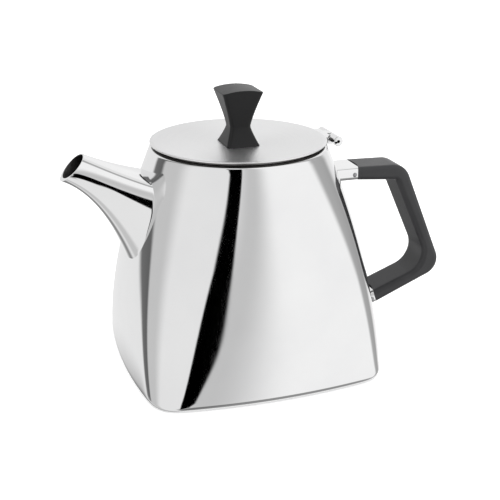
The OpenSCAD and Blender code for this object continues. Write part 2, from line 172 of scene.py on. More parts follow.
def apply_modifiers(piece):
    dg = bpy.context.evaluated_depsgraph_get()
    new = bpy.data.meshes.new_from_object(piece.evaluated_get(dg))
    piece.modifiers.clear()
    old = piece.data
    piece.data = new
    bpy.data.meshes.remove(old)


def even_normals(piece):
    """Normals that follow the large faces, so that flats stay flat next to their rounded edges."""
    w = piece.modifiers.new("normals", "WEIGHTED_NORMAL")
    w.keep_sharp = True
    w.weight = 80
    apply_modifiers(piece)


def bevel(piece, width, segments=3, angle=35):
    m = piece.modifiers.new("bevel", "BEVEL")
    m.width, m.segments = width * MM, segments
    m.limit_method, m.angle_limit = "ANGLE", math.radians(angle)
    m.harden_normals = False
    apply_modifiers(piece)
    piece.data.shade_smooth()
    even_normals(piece)


def arc(centre, radius, start, end, steps):
    """Points of an arc in a plane, with angles in degrees."""
    return [
        (centre[0] + radius * math.cos(math.radians(a)), centre[1] + radius * math.sin(math.radians(a)))
        for a in np.linspace(start, end, steps + 1)
    ]


# ------------------------------------------------------------------ body form
def share(z):
    return min(1.0, max(0.0, z / BODY_TOP))


def half_width(z):
    return HALF_FOOT + (HALF_TOP - HALF_FOOT) * share(z) ** WIDTH_POWER


def side_radius(z):
    return 1 / (FOOT_CURVE + (1 / HALF_TOP - FOOT_CURVE) * share(z) ** SIDE_POWER)


def corner_radius(z):
    return FOOT_CORNER + (HALF_TOP - FOOT_CORNER) * share(z) ** CORNER_POWER


TURN = np.linspace(0, 2 * math.pi, RING_POINTS, endpoint=False)


def body_ring(z, d, level=None):
    """One ring of the body at height z, inset by d. Its corners are eased so that reflections flow."""
    side, corner = side_radius(z), corner_radius(z)
    back = side - half_width(z)
    c = (math.sqrt(max(0, 2 * (side - corner) ** 2 - back * back)) - back) / 2
    fold = np.abs((TURN + math.pi / 4) % (math.pi / 2) - math.pi / 4)
    joint = math.atan2(c, c + back + 1e-4)
    joint = math.atan2(c + (corner - d) * math.sin(joint), c + (corner - d) * math.cos(joint))
    flat = np.sqrt((side - d) ** 2 - (back * np.sin(fold)) ** 2) - back * np.cos(fold)
    reach = c * (np.cos(fold) + np.sin(fold))
    bend = reach + np.sqrt(np.maximum(0, reach * reach - 2 * c * c + (corner - d) ** 2))
    r = np.where(fold < joint, flat, bend)
    for _ in range(6):
        r = (np.roll(r, 1) + 2 * r + np.roll(r, -1)) / 4
    height = np.full(RING_POINTS, z if level is None else level)
    return np.stack([r * np.cos(TURN), r * np.sin(TURN), height], 1)


def round_ring(z, r):
    return np.stack([r * np.cos(TURN), r * np.sin(TURN), np.full(RING_POINTS, z)], 1)


def body_face_x(y, z):
    """x of the body's outer face on the handle side."""
    side = side_radius(z)
    return half_width(z) - side + math.sqrt(side * side - y * y)


def body_rings():
    rings = []
    for a in np.radians(np.linspace(0, 90, 9)):
        rings.append(body_ring(FOOT_ROUND * (1 - math.cos(a)), FOOT_ROUND * (1 - math.sin(a))))
    for s in np.linspace(0, 1, 61)[1:]:
        rings.append(body_ring(FOOT_ROUND + (BODY_TOP - SHOULDER - FOOT_ROUND) * s, 0))
    for a in np.radians(np.linspace(0, 90, 7))[1:]:
        rings.append(body_ring(BODY_TOP - SHOULDER * (1 - math.sin(a)), SHOULDER * (1 - math.cos(a))))
    for r, z in arc((MOUTH_R + EDGE_R, BODY_TOP - EDGE_R), EDGE_R, 90, 180, 3):
        rings.append(round_ring(z, r))
    for r, z in arc((MOUTH_R + EDGE_R, BODY_TOP - WALL + EDGE_R), EDGE_R, 180, 270, 3):
        rings.append(round_ring(z, r))
    for s in np.linspace(1, 0, 41)[:-1]:
        rings.append(body_ring(FOOT_ROUND + (BODY_TOP - WALL - FOOT_ROUND) * s, WALL))
    inner_r = FOOT_ROUND - WALL
    for a in np.radians(np.linspace(90, 0, 6)):
        rings.append(body_ring(FOOT_ROUND - inner_r * math.cos(a), FOOT_ROUND - inner_r * math.sin(a)))
    rings.append(body_ring(0, FOOT_RING, WALL))
    rings.append(body_ring(0, FOOT_RING, 0))
    return rings


# ------------------------------------------------------------------ spout form
def bend_curve(points, u):
    a, b, c = (np.array(p) for p in points)
    return (1 - u) ** 2 * a + 2 * u * (1 - u) * b + u * u * c


def spout_ring(u, d, extra, bite=0.0, points=160):
    """One ring of the spout, d inside its outer face, with its first rings bent to the body."""

    def section(v, inset, more):
        high, low = bend_curve(SPOUT_TOP, v), bend_curve(SPOUT_LOW, v)
        down = (low - high) / np.linalg.norm(low - high)
        top, bottom = high + down * inset, low - down * (inset + more)
        t = np.linspace(0, 2 * math.pi, points, endpoint=False)
        square = np.where(t < math.pi, SPOUT_UPPER_SQ, SPOUT_LOWER_SQ)
        power = 2 / (2 + (square - 2) * (1 - v))
        sine, cosine = np.sin(t), np.cos(t)
        p = (top + bottom) / 2 + np.outer(np.sign(sine) * np.abs(sine) ** power, (top - bottom) / 2)
        half = SPOUT_END_W / 2 + (SPOUT_ROOT_W - SPOUT_END_W) / 2 * (1 - v) ** SPOUT_FLARE
        return np.stack([p[:, 0], (half - inset) * np.sign(cosine) * np.abs(cosine) ** power, p[:, 1]], 1)

    ring, root = section(u, d, extra), section(0, d, 0)
    face = np.array([-body_face_x(y, z) for _, y, z in root])
    ring[:, 0] += (face - root[:, 0]) * (1 - u) ** 3 + bite
    return ring


def spout_rings():
    steps = np.linspace(0, 1, 49)
    inner = [spout_ring(u, SPOUT_WALL + (LIP_WALL - SPOUT_WALL) * u ** 4, LIP_EXTRA * u ** 8) for u in steps]
    outer = [spout_ring(u, 0, 0) for u in steps]
    lip_in, lip_out = inner[-1], outer[-1]
    ahead = (outer[-1] - outer[-2]) * 0.12
    rim = []
    for s in (0.12, 0.3, 0.5, 0.7, 0.88):
        lift = 1 - (2 * s - 1) ** 2
        rim.append(lip_in + (lip_out - lip_in) * s + ahead * (lift - 1))
    return (
        inner[:0:-1]
        + [inner[0], spout_ring(0, SPOUT_WALL, 0, WELD), spout_ring(0, 0, 0, WELD)]
        + outer
        + rim[::-1]
    )


# ------------------------------------------------------------------ handle form
def corner_arc(a, b, c, radius, steps, shift=0.0):
    a, b, c = (np.array(p, float) for p in (a, b, c))
    to_a, to_c = (a - b) / np.linalg.norm(a - b), (c - b) / np.linalg.norm(c - b)
    half = math.acos(float(np.dot(to_a, to_c))) / 2
    middle = to_a + to_c
    centre = b + middle / np.linalg.norm(middle) * radius / math.sin(half)
    start = b + to_a * radius / math.tan(half) - centre
    end = b + to_c * radius / math.tan(half) - centre
    first = math.atan2(start[1], start[0])
    turn = (math.atan2(end[1], end[0]) - first + math.pi) % (2 * math.pi) - math.pi
    angles = first + turn * np.linspace(0, 1, steps + 1)
    return [centre + (radius - shift) * np.array([math.cos(t), math.sin(t)]) for t in angles]


def joint_bulge(y):
    """How far the curved joint between bracket and handle stands out at y."""
    return JOINT_BULGE * (1 - 2 * (y / (STRAP_W / 2)) ** 2)


def strap_outline(y, d, steps=20):
    """Outline of the strap at y, drawn in by d: the outer edge out and the inner edge back."""
    across = np.array(FOOT_INNER) - np.array(FOOT_OUTER)
    across = across / np.linalg.norm(across)
    along = np.array([across[1], -across[0]])
    arm = ARM_START + joint_bulge(y)
    foot = along * joint_bulge(y)
    outer = (
        [np.array([arm, ARM_TOP - d])]
        + corner_arc((ARM_START, ARM_TOP), OUTER_UPPER, OUTER_LOWER, BEND_R["outer_upper"], steps, d)
        + corner_arc(OUTER_UPPER, OUTER_LOWER, FOOT_OUTER, BEND_R["outer_lower"], steps, d)
        + [np.array(FOOT_OUTER) + across * d + foot]
    )
    inner = (
        [np.array([arm, ARM_LOW + d])]
        + corner_arc((ARM_START, ARM_LOW), INNER_UPPER, INNER_LOWER, BEND_R["inner_upper"], steps, -d)
        + corner_arc(INNER_UPPER, INNER_LOWER, FOOT_INNER, BEND_R["inner_lower"], steps, -d)
        + [np.array(FOOT_INNER) - across * d + foot]
    )
    return outer, inner


def strap_skin():
    """The strap as outlines stacked across its width, drawn in at the long edges to round them."""
    flat = STRAP_W / 2 - STRAP_EDGE
    rings = []
    for side in (-1, 1):
        for a in np.radians(np.linspace(90, 0, 9) if side < 0 else np.linspace(0, 90, 9)):
            y, d = side * (flat + STRAP_EDGE * math.sin(a)), STRAP_EDGE * (1 - math.cos(a))
            outer, inner = strap_outline(y, d)
            rings.append([(p[0], y, p[1]) for p in outer + inner[::-1]])
        if side < 0:
            for y in np.linspace(-flat, flat, 7)[1:-1]:
                outer, inner = strap_outline(y, 0)
                rings.append([(p[0], y, p[1]) for p in outer + inner[::-1]])
    verts, faces = loft(rings)
    n = len(rings[0])
    last = (len(rings) - 1) * n
    for i in range(n // 2 - 1):
        faces.append((i, i + 1, n - 2 - i, n - 1 - i))
        faces.append((last + n - 1 - i, last + n - 2 - i, last + i + 1, last + i))
    return verts, faces


def bracket_rings(place, slope, thick, to_body, steps=24):
    """Rings of a bracket from the wall of the body to its curved joint with the strap.
    place is the middle of the joint in [x, z], and slope turns the bar about Y, in radians."""
    outline = []
    for q in range(4):
        side_t = 1 if q in (0, 3) else -1
        side_y = 1 if q < 2 else -1
        for a in np.radians(90 * q + np.linspace(0, 90, 9)):
            outline.append((
                side_t * (thick / 2 - STRAP_EDGE) + STRAP_EDGE * math.cos(a),
                side_y * (STRAP_W / 2 - STRAP_EDGE) + STRAP_EDGE * math.sin(a),
            ))
    cosine, sine = math.cos(slope), math.sin(slope)

    def at(along, t, y):
        return place[0] + along * cosine + t * sine, y, place[1] - along * sine + t * cosine

    rings = []
    for s in np.linspace(0, 1, steps + 1):
        ring = []
        for t, y in outline:
            start = to_body(at, t, y)
            end = joint_bulge(y)
            ring.append(at(start + (end - start) * s, t, y))
        rings.append(ring)
    return rings


def wall_hit(at, t, y):
    """Distance along a bracket, back from its joint, at which the line through t and y meets the body."""
    low, high = -30.0, 0.0
    for _ in range(40):
        mid = (low + high) / 2
        x, _, z = at(mid, t, y)
        if x > body_face_x(y, z) - WELD:
            high = mid
        else:
            low = mid
    return high


# ------------------------------------------------------------------ lid and knob forms
def dish(r):
    """Height of the lid's upper face at radius r, eased at both ends of its slope."""
    u = (r - LID_FLAT) / (DISH_END - LID_FLAT)
    ease = 0.06
    if u <= -ease:
        share_up = 0.0
    elif u < ease:
        share_up = (u + ease) ** 2 / (4 * ease)
    else:
        share_up = u
    return LID_TOP + (RIM_TOP - LID_TOP) * min(1.0, share_up)


def lid_profile():
    top = [(r, dish(r)) for r in np.concatenate([[0.01], np.linspace(2, DISH_END - 0.6, 40)])]
    rim_r, edge_r = 0.4, 0.25
    top += [(DISH_END - 0.25, RIM_TOP - 0.012), (DISH_END + 0.3, RIM_TOP + 0.0)]
    top += arc((HALF_TOP - rim_r, RIM_TOP - rim_r), rim_r, 90, 0, 8)
    side = arc((HALF_TOP - edge_r, RIM_LOW + edge_r), edge_r, 0, -90, 4)
    under = [(r, dish(r) - LID_SHEET) for r in np.linspace(DISH_END, 2.3, 24)]
    return top + side + under


def knob_size(h):
    base, waist, top = (np.array(v) for v in (KNOB_BASE, KNOB_WAIST, KNOB_TOP))
    if h < WAIST_H:
        return waist + (base - waist) * (1 - h / WAIST_H) ** 1.25
    return waist + (top - waist) * ((h - WAIST_H) / (KNOB_H - WAIST_H)) ** 1.2


def knob_outline(size, radius=KNOB_CORNER, steps=6, side=8):
    """Rounded rectangle in plan, with points along its sides."""
    def on_corner(q, a):
        """Point at angle a on the arc of corner q, counted from the +X +Y corner."""
        sx, sy = (1 if q % 4 in (0, 3) else -1), (1 if q % 4 < 2 else -1)
        x = sx * (size[0] / 2 - radius) + radius * math.cos(a)
        y = sy * (size[1] / 2 - radius) + radius * math.sin(a)
        return x, y

    points = []
    for q in range(4):
        corner = [on_corner(q, a) for a in np.radians(90 * q + np.linspace(0, 90, steps + 1))]
        nxt = on_corner(q + 1, math.radians(90 * (q + 1)))
        last = corner[-1]
        points += corner
        points += [
            (last[0] + (nxt[0] - last[0]) * i / side, last[1] + (nxt[1] - last[1]) * i / side)
            for i in range(1, side)
        ]
    return np.array(points)


def knob_skin():
    """The knob's waisted sides, cut by its arched top, with the top filled ring by ring."""
    half = KNOB_TOP[0] / 2
    arch = (half * half + KNOB_CROWN ** 2) / (2 * KNOB_CROWN)

    def roof(x):
        return KNOB_H + KNOB_CROWN - arch + math.sqrt(max(0.0, arch * arch - x * x))

    count = len(knob_outline(KNOB_BASE))
    tops = []
    for k in range(count):
        low, high = KNOB_H - 4, KNOB_H + KNOB_CROWN + 1
        for _ in range(40):
            mid = (low + high) / 2
            if mid < roof(knob_outline(knob_size(mid))[k][0]):
                low = mid
            else:
                high = mid
        tops.append(low)
    rings = []
    for s in np.linspace(0, 1, 41):
        ring = []
        for k in range(count):
            h = tops[k] * s
            p = knob_outline(knob_size(h))[k]
            ring.append((p[0], p[1], LID_TOP + h))
        rings.append(ring)
    edge = np.array(rings[-1])
    for s in (0.97, 0.9, 0.8, 0.68, 0.55, 0.42, 0.28, 0.14, 0.05):
        rings.append([(x * s, y * s, LID_TOP + roof(x * s)) for x, y, _ in edge])
    foot = np.array(rings[0])
    below = []
    radial = np.hypot(foot[:, 0], foot[:, 1])
    for s in (0.0, 0.4, 0.8):
        scale = (radial + (INSERT_R - radial) * (1 - s)) / radial
        below.append(foot * np.stack([scale, scale, np.ones_like(scale)], 1))
    return loft(below + rings, cap_end=True)


# ------------------------------------------------------------------ hinge forms
def cylinder_rings(y0, y1, radius, edge, segments=48):
    """Rings of a cylinder along Y at the hinge, with rounded ends."""
    t = np.linspace(0, 2 * math.pi, segments, endpoint=False)
    rings = []
    steps = [(y0, radius - edge)] + [
        (y0 + edge * (1 - math.cos(a)), radius - edge * (1 - math.sin(a))) for a in np.radians([30, 60, 90])
    ]
    steps += [(y0 + (y1 - y0) * s, radius) for s in (0.25, 0.5, 0.75)]
    steps += [
        (y1 - edge * (1 - math.cos(a)), radius - edge * (1 - math.sin(a)))
        for a in np.radians([90, 60, 30])
    ]
    steps += [(y1, radius - edge)]
    for y, r in steps:
        rings.append(np.stack([HINGE_X + r * np.cos(t), np.full(segments, y), HINGE_Z + r * np.sin(t)], 1))
    return rings


def plate(x0, x1, y0, y1, z0, z1, arc_r=None, cells=12):
    """A thin plate whose inner end follows a circle of the given radius."""
    verts, faces = [], []
    for z in (z0, z1):
        for i in range(cells + 1):
            y = y0 + (y1 - y0) * i / cells
            inner = math.sqrt(arc_r * arc_r - y * y) if arc_r else x0
            verts += [(inner, y, z), (x1, y, z)]
    n = 2 * (cells + 1)
    for i in range(cells):
        a = 2 * i
        faces += [(a, a + 2, a + 3, a + 1), (n + a, n + a + 1, n + a + 3, n + a + 2)]
        faces += [(a, n + a, n + a + 2, a + 2), (a + 1, a + 3, n + a + 3, n + a + 1)]
    faces += [(0, 1, n + 1, n), (n - 2, 2 * n - 2, 2 * n - 1, n - 1)]
    return verts, faces


def joined(*parts):
    verts, faces = [], []
    for v, f in parts:
        start = len(verts)
        verts += list(v)
        faces += [tuple(i + start for i in face) for face in f]
    return verts, faces


# ------------------------------------------------------------------ materials
class Shader:
    """A material's node tree, with short calls for its parts."""

    def __init__(self, name):
        self.mat = bpy.data.materials.new(name)
        self.mat.use_nodes = True
        self.tree = self.mat.node_tree
        self.main = next(n for n in self.tree.nodes if n.type == "BSDF_PRINCIPLED")
        self.where = self.node("ShaderNodeTexCoord").outputs["Object"]

    def node(self, kind, **settings):
        n = self.tree.nodes.new(kind)
        for key, value in settings.items():
            setattr(n, key, value)
        return n

    def link(self, a, b):
        self.tree.links.new(a, b)

    def math(self, operation, *values):
        n = self.node("ShaderNodeMath", operation=operation)
        for i, v in enumerate(values):
            if isinstance(v, (int, float)):
                n.inputs[i].default_value = v
            else:
                self.link(v, n.inputs[i])
        return n.outputs[0]

    def noise(self, scale, detail=2.0, rough=0.5, vector=None, distortion=0.0):
        n = self.node("ShaderNodeTexNoise")
        n.inputs["Scale"].default_value = scale
        n.inputs["Detail"].default_value = detail
        n.inputs["Roughness"].default_value = rough
        n.inputs["Distortion"].default_value = distortion
        self.link(vector or self.where, n.inputs["Vector"])
        return n.outputs["Fac"]

    def stretch(self, x, y, z):
        n = self.node("ShaderNodeMapping")
        n.inputs["Scale"].default_value = (x, y, z)
        self.link(self.where, n.inputs["Vector"])
        return n.outputs["Vector"]

    def remap(self, value, low, high, to_low, to_high):
        n = self.node("ShaderNodeMapRange")
        n.inputs["From Min"].default_value, n.inputs["From Max"].default_value = low, high
        n.inputs["To Min"].default_value, n.inputs["To Max"].default_value = to_low, to_high
        self.link(value, n.inputs["Value"])
        return n.outputs["Result"]

    def mix(self, factor, a, b):
        n = self.node("ShaderNodeMix", data_type="RGBA")
        self.link(factor, n.inputs["Factor"])
        n.inputs[6].default_value = (*a, 1)
        n.inputs[7].default_value = (*b, 1)
        return n.outputs[2]

    def bump(self, height, strength, distance):
        n = self.node("ShaderNodeBump")
        n.inputs["Strength"].default_value = strength
        n.inputs["Distance"].default_value = distance
        self.link(height, n.inputs["Height"])
        self.link(n.outputs["Normal"], self.main.inputs["Normal"])


def polished_steel():
    """Mirror polish, with a faint waviness of the sheet, fine wiping marks and a few dull smears."""
    s = Shader("polished_steel")
    s.main.inputs["Metallic"].default_value = 1.0
    smear = s.noise(28, 3, 0.6)
    colour = s.mix(s.remap(smear, 0.3, 0.7, 0, 1), (0.86, 0.86, 0.865), (0.90, 0.90, 0.90))
    s.link(colour, s.main.inputs["Base Color"])
    wiping = s.noise(900, 3, 0.6, s.stretch(1, 1, 0.06))
    rough = s.math("ADD", s.remap(wiping, 0.35, 0.75, 0.03, 0.06), s.remap(smear, 0.45, 0.75, 0.0, 0.025))
    s.link(rough, s.main.inputs["Roughness"])
    wave = s.noise(16, 1, 0.4)
    s.bump(wave, 0.05, 0.002)
    return s.mat


def satin_steel():
    """Turned satin finish in fine rings round the middle of the lid."""
    s = Shader("satin_steel")
    s.main.inputs["Metallic"].default_value = 1.0
    split = s.node("ShaderNodeSeparateXYZ")
    s.link(s.where, split.inputs[0])
    x, y, z = split.outputs
    radius = s.math("SQRT", s.math("ADD", s.math("MULTIPLY", x, x), s.math("MULTIPLY", y, y)))
    polar = s.node("ShaderNodeCombineXYZ")
    s.link(s.math("MULTIPLY", radius, 1.0), polar.inputs[0])
    s.link(s.math("MULTIPLY", s.math("ARCTAN2", y, x), 0.0004), polar.inputs[1])
    s.link(s.math("MULTIPLY", z, 1.0), polar.inputs[2])
    rings = s.noise(5200, 3, 0.6, polar.outputs[0])
    tone = s.noise(35, 2, 0.5)
    colour = s.mix(s.remap(rings, 0.3, 0.7, 0, 1), (0.90, 0.90, 0.905), (0.96, 0.96, 0.96))
    s.link(colour, s.main.inputs["Base Color"])
    rough = s.math("ADD", s.remap(rings, 0.3, 0.7, 0.32, 0.40), s.remap(tone, 0.4, 0.7, 0.0, 0.03))
    s.link(rough, s.main.inputs["Roughness"])
    s.main.inputs["Anisotropic"].default_value = 0.3
    tangent = s.node("ShaderNodeTangent", direction_type="RADIAL", axis="Z")
    s.link(tangent.outputs[0], s.main.inputs["Tangent"])
    s.bump(rings, 0.12, 0.0001)
    return s.mat


def black_plastic(name, dark, pale, rough_low, rough_high, shine=0.5):
    """Black heat-proof plastic with a fine moulded grain and rubbed, slightly greyer patches."""
    s = Shader(name)
    s.main.inputs["Specular IOR Level"].default_value = shine
    grain = s.noise(2600, 3, 0.6)
    patch = s.noise(45, 3, 0.6)
    s.link(s.mix(s.remap(patch, 0.3, 0.7, 0, 1), dark, pale), s.main.inputs["Base Color"])
    rubbed = s.remap(patch, 0.3, 0.7, rough_low, rough_high)
    s.link(s.math("ADD", rubbed, s.remap(grain, 0.3, 0.7, -0.03, 0.03)), s.main.inputs["Roughness"])
    s.bump(grain, 0.25, 0.0001)
    return s.mat


def brass():
    s = Shader("brass")
    s.main.inputs["Metallic"].default_value = 1.0
    tarnish = s.noise(300, 3, 0.6)
    colour = s.mix(s.remap(tarnish, 0.3, 0.7, 0, 1), (0.66, 0.50, 0.22), (0.78, 0.62, 0.32))
    s.link(colour, s.main.inputs["Base Color"])
    s.link(s.remap(tarnish, 0.3, 0.7, 0.22, 0.36), s.main.inputs["Roughness"])
    s.bump(tarnish, 0.1, 0.0001)
    return s.mat


def inner_steel_painted_shade():
    """Inside of the pot, the lid's underside and the groove under the lid: the bare sheet, dulled, with its
    colour darkened as painted shade, darker in random patches.
    """
    s = Shader("inner_steel_painted_shade")
    s.main.inputs["Metallic"].default_value = 1.0
    shade_patches = s.noise(40, 4, 0.6)
    brush = s.noise(1200, 3, 0.6, s.stretch(1, 1, 0.05))
    # Painted shade: the steel's own colour is made dark, in noise patches from 0.20 to 0.34
    colour = s.mix(s.remap(shade_patches, 0.3, 0.7, 0, 1), (0.20, 0.195, 0.19), (0.34, 0.335, 0.33))
    s.link(colour, s.main.inputs["Base Color"])
    s.link(s.remap(brush, 0.3, 0.7, 0.34, 0.46), s.main.inputs["Roughness"])
    s.bump(brush, 0.1, 0.0001)
    return s.mat


def rivet_steel():
    """Rivet ends: dull grey steel with turning marks."""
    s = Shader("rivet_steel")
    s.main.inputs["Metallic"].default_value = 1.0
    marks = s.noise(2400, 3, 0.6)
    colour = s.mix(s.remap(marks, 0.3, 0.7, 0, 1), (0.30, 0.30, 0.31), (0.46, 0.46, 0.47))
    s.link(colour, s.main.inputs["Base Color"])
    s.link(s.remap(marks, 0.3, 0.7, 0.3, 0.42), s.main.inputs["Roughness"])
    s.bump(marks, 0.1, 0.0001)
    return s.mat


STEEL, SATIN, BRASS = polished_steel(), satin_steel(), brass()
INNER_PAINTED_SHADE, RIVET = inner_steel_painted_shade(), rivet_steel()
PLASTIC = black_plastic("handle_plastic", (0.020, 0.020, 0.022), (0.032, 0.032, 0.034), 0.36, 0.46)
KNOB_PLASTIC = black_plastic("knob_plastic", (0.004, 0.004, 0.0045), (0.007, 0.007, 0.0075), 0.34, 0.42, 0.35)


# ------------------------------------------------------------------ pieces of the pot
def cut_strainer(piece):
    """Punches the strainer holes behind the root of the spout."""
    mid_z = (SPOUT_TOP[0][1] + SPOUT_LOW[0][1]) / 2
    half_z = (SPOUT_TOP[0][1] - SPOUT_LOW[0][1]) / 2 - STRAINER_EDGE
    half_y = SPOUT_ROOT_W / 2 - STRAINER_EDGE
    rows = math.ceil(half_z / STRAINER_PITCH)
    bm = bmesh.new()
    for row in range(-rows, rows + 1):
        for col in range(-rows - 1, rows + 2):
            y = (col + (0 if row % 2 == 0 else 0.5)) * STRAINER_PITCH
            z = row * STRAINER_PITCH * math.sin(math.radians(60))
            if (y / half_y) ** 2 + (z / half_z) ** 2 < 1:
                made = bmesh.ops.create_cone(
                    bm, cap_ends=True, segments=20, radius1=STRAINER_HOLE / 2 * MM,
                    radius2=STRAINER_HOLE / 2 * MM, depth=30 * MM,
                )["verts"]
                for v in made:
                    v.co = Vector((v.co.z - 51 * MM, v.co.y + y * MM, -v.co.x + (mid_z + z) * MM))
    mesh = bpy.data.meshes.new("punches")
    bm.to_mesh(mesh)
    bm.free()
    punches = bpy.data.objects.new("punches", mesh)
    scene.collection.objects.link(punches)
    m = piece.modifiers.new("holes", "BOOLEAN")
    m.object, m.operation, m.solver = punches, "DIFFERENCE", "EXACT"
    apply_modifiers(piece)
    bpy.data.objects.remove(punches)
    bpy.data.meshes.remove(mesh)
    piece.data.shade_smooth()
    piece.data.set_sharp_from_angle(angle=math.radians(50))


verts, faces = loft(body_rings(), closed=True)
steel_body = make_piece("steel_body", verts, faces, STEEL, "pot", "polished_steel", ["body_shell"], sharp=50)
cut_strainer(steel_body)


def paint_shade_inside(piece, material, inside):
    """Gives a second material, the painted-shade steel, to the faces whose middle and normal, in millimetres,
    count as inside.
    """
    piece.data.materials.append(material)
    for face in piece.data.polygons:
        if inside(face.center / MM, face.normal):
            face.material_index = 1


# Faces that get painted shade: the top ledge in the groove under the lid, the inner wall and the inner floor
def in_body(p, n):
    ledge = p.z > BODY_TOP - 0.05 and n.z > 0.9 and math.hypot(p.x, p.y) < HALF_TOP - SHOULDER - 0.2
    return ledge or (p.z > FOOT_ROUND and n.x * p.x + n.y * p.y < 0) or (p.z < FOOT_ROUND and n.z > 0.5)


# The inside of the body and the ledge under the lid get painted shade
paint_shade_inside(steel_body, INNER_PAINTED_SHADE, in_body)

foot = body_ring(0, FOOT_RING)
plate_rings = [foot * np.array([s, s, 1]) for s in (0.02, 0.25, 0.5, 0.75, 0.98, 1.0)]
under = [r + np.array([0, 0, 0.02]) for r in plate_rings]
over = [r + np.array([0, 0, WALL]) for r in plate_rings[::-1]]
foot_skin = loft(under + over, cap_start=True, cap_end=True)
make_piece("foot_plate", *foot_skin, STEEL, "pot", "satin_steel", ["base_plate"], sharp=40)

spout_skin = loft(spout_rings(), closed=True)
spout = make_piece("spout", *spout_skin, STEEL, "pot", "polished_steel", ["spout_shell"], sharp=60)


spout_middle = [(bend_curve(SPOUT_TOP, u) + bend_curve(SPOUT_LOW, u)) / 2 for u in np.linspace(0, 1, 21)]
spout_lip = bend_curve(SPOUT_LOW, 1) - bend_curve(SPOUT_TOP, 1)
spout_outward = np.array([-spout_lip[1], spout_lip[0]]) / np.linalg.norm(spout_lip)


def in_spout(p, n):
    """Faces that look towards the middle line of the spout."""
    middle = min(spout_middle, key=lambda m: (m[0] - p.x) ** 2 + (m[1] - p.z) ** 2)
    inward = n.x * (p.x - middle[0]) + n.y * p.y + n.z * (p.z - middle[1]) < 0
    return inward and abs(n.x * spout_outward[0] + n.z * spout_outward[1]) < 0.8


# The spout's inner faces get painted shade
paint_shade_inside(spout, INNER_PAINTED_SHADE, in_spout)

grip = make_piece("handle_strap", *strap_skin(), PLASTIC, "pot", "handle_plastic", ["handle_grip"], sharp=40)
even_normals(grip)

arm_mid = (ARM_START, (ARM_TOP + ARM_LOW) / 2)
foot_mid = tuple((a + b) / 2 for a, b in zip(FOOT_OUTER, FOOT_INNER))
across = np.array(FOOT_INNER) - np.array(FOOT_OUTER)
foot_thick = float(np.linalg.norm(across))
foot_slope = math.atan2(across[0], across[1])
for name, place, slope, thick, node in (
    ("handle_socket_upper", arm_mid, 0.0, ARM_TOP - ARM_LOW, "upper_bracket"),
    ("handle_socket_lower", foot_mid, foot_slope, foot_thick, "lower_bracket"),
):
    socket = make_piece(
        name, *loft(bracket_rings(place, slope, thick, wall_hit), cap_start=True, cap_end=True),
        STEEL, "pot", "polished_steel", [node], sharp=40,
    )
    bevel(socket, 0.25)


def rivet(name, place, node):
    """A pin across the bracket, with slightly domed ends that stand a little proud."""
    half, r = STRAP_W / 2, RIVET_D / 2
    steps = [(-half - 0.3, r * 0.05), (-half - 0.27, r * 0.5), (-half - 0.15, r * 0.85), (-half + 0.05, r)]
    steps += [(-y, s) for y, s in steps[::-1]]
    t = np.linspace(0, 2 * math.pi, 32, endpoint=False)
    rings = [
        np.stack([place[0] + s * np.cos(t), np.full(32, y), place[1] + s * np.sin(t)], 1) for y, s in steps
    ]
    skin = loft(rings, cap_start=True, cap_end=True)
    make_piece(name, *skin, RIVET, "pot", "polished_steel", [node], sharp=40)


rivet("rivet_upper", (arm_mid[0] - RIVET_BACK, arm_mid[1]), "upper_rivet")
rivet_low = (foot_mid[0] - RIVET_BACK * math.cos(foot_slope), foot_mid[1] + RIVET_BACK * math.sin(foot_slope))
rivet("rivet_lower", rivet_low, "lower_rivet")

# ------------------------------------------------------------------ hinge
inner_end = MIDDLE_L / 2 + LEAF_GAP
knuckle_r = KNUCKLE_D / 2
leaf_root = half_width(HINGE_Z) - WELD
body_leaf = make_piece(
    "hinge_leaf_body",
    *joined(
        loft(cylinder_rings(inner_end, HINGE_L / 2, knuckle_r, 0.3), cap_start=True, cap_end=True),
        loft(cylinder_rings(-HINGE_L / 2, -inner_end, knuckle_r, 0.3), cap_start=True, cap_end=True),
        plate(0, HINGE_X - 0.6, inner_end, HINGE_L / 2, HINGE_Z - LEAF_T, HINGE_Z, leaf_root),
        plate(0, HINGE_X - 0.6, -HINGE_L / 2, -inner_end, HINGE_Z - LEAF_T, HINGE_Z, leaf_root),
        plate(0, HINGE_X - knuckle_r - LEAF_GAP, -inner_end, inner_end, HINGE_Z - LEAF_T, HINGE_Z, leaf_root),
    ),
    STEEL, "pot", "polished_steel", ["hinge_body_leaf"], sharp=40,
)
leaf_low = RIM_LOW - WELD
leaf_high = leaf_low + LEAF_T
# The wide part of the lid leaf is thinner by this much above and below
leaf_step = 0.01
lid_leaf = make_piece(
    "hinge_leaf_lid",
    *joined(
        loft(cylinder_rings(-MIDDLE_L / 2, MIDDLE_L / 2, knuckle_r, 0.3), cap_start=True, cap_end=True),
        plate(0, HINGE_X, -MIDDLE_L / 2, MIDDLE_L / 2, leaf_low, leaf_high, HALF_TOP - WELD),
        plate(
            0, LID_LEAF_REACH, -LID_LEAF_W / 2, LID_LEAF_W / 2,
            leaf_low + leaf_step, leaf_high - leaf_step, HALF_TOP - WELD,
        ),
    ),
    STEEL, "lid", "polished_steel", ["hinge_lid_leaf"], sharp=40,
)
pin_skin = loft(cylinder_rings(-HINGE_L / 2, HINGE_L / 2, PIN_D / 2, 0.2), cap_start=True, cap_end=True)
make_piece("hinge_pin_steel", *pin_skin, STEEL, "pot", "polished_steel", ["hinge_pin"], sharp=40)

# ------------------------------------------------------------------ lid
lid_skin = lathe(lid_profile(), 256)
lid_disc = make_piece("lid_disc", *lid_skin, SATIN, "lid", "satin_steel", ["lid_plate"], sharp=50)
